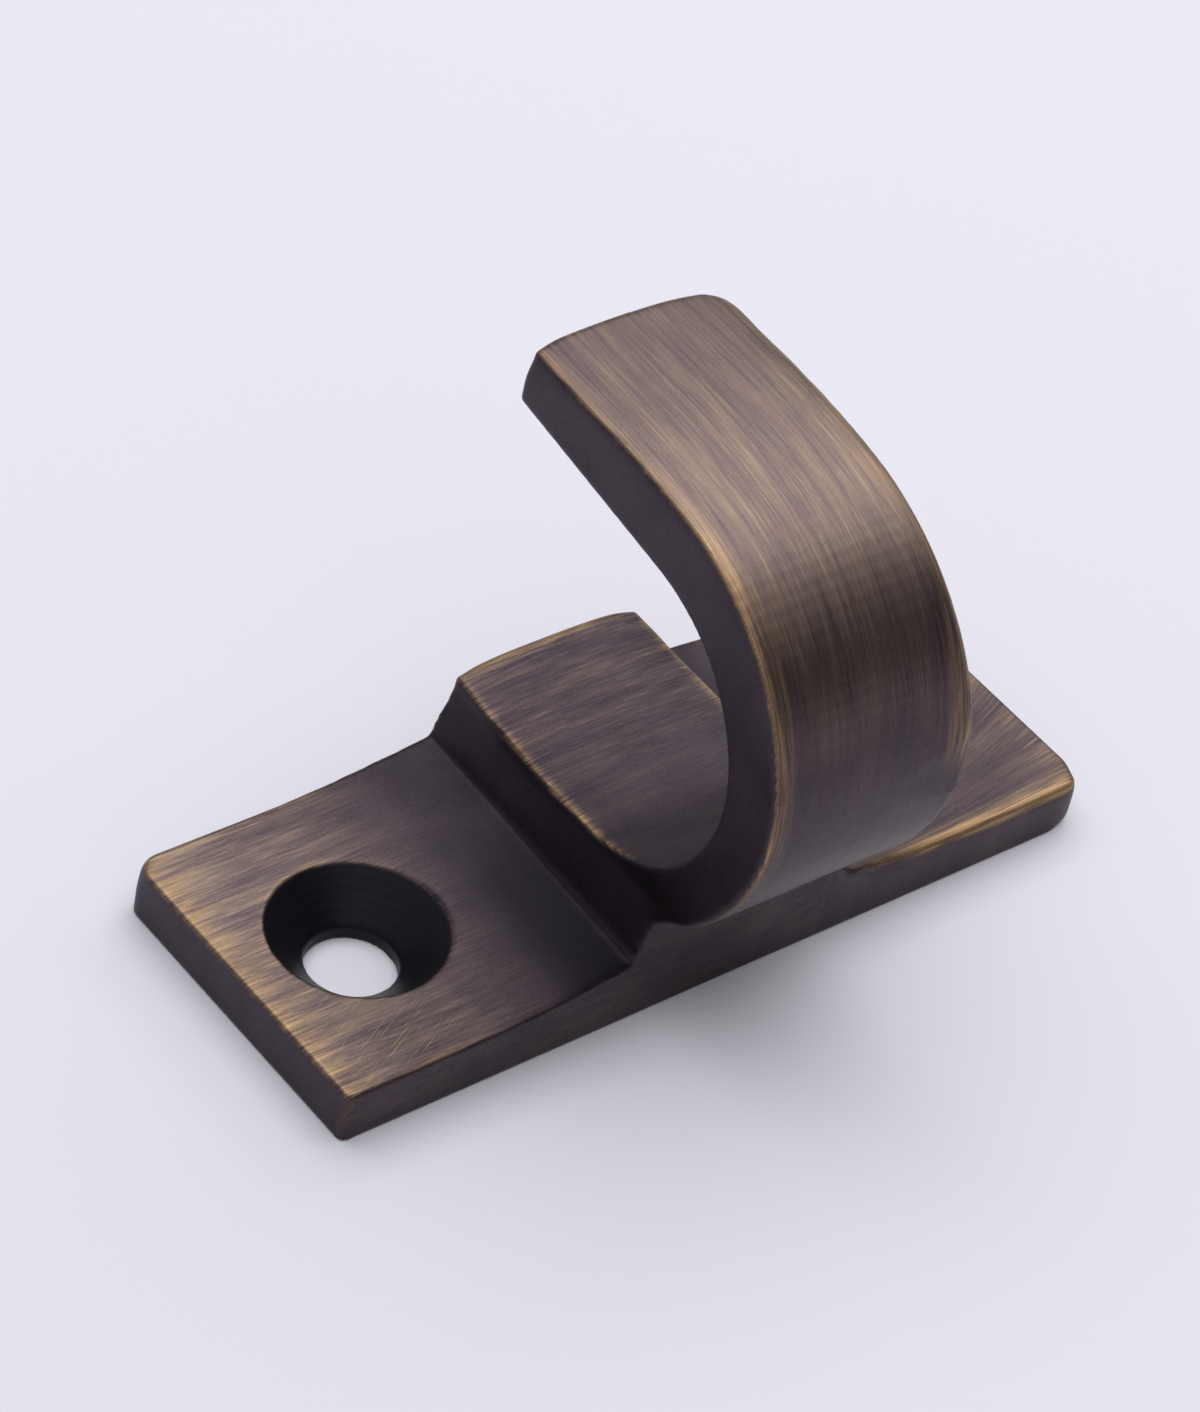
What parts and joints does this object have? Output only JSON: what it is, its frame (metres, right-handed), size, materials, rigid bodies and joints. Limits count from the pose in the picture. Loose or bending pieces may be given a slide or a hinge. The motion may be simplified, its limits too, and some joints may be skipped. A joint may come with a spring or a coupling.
{
  "type": "cafe rod bracket",
  "caption": "Open hook bracket that holds a cafe curtain rod off the wall: a flat plate with countersunk screw holes and a curved arm over the rod seat, cast in dark antique brass.",
  "frame": {"origin": "centre of the plate's flat back face, which lies against the wall", "axes": "+X along the plate and the rod, +Y towards the hook's open mouth, +Z out from the wall"},
  "size_m": [0.042, 0.0212, 0.0269],
  "materials": {
    "antique_brass": "antique brass, hand brushed, with rubbed edges"
  },
  "bodies": {
    "root": {"bracket": "antique_brass"}
  },
  "joints": []
}
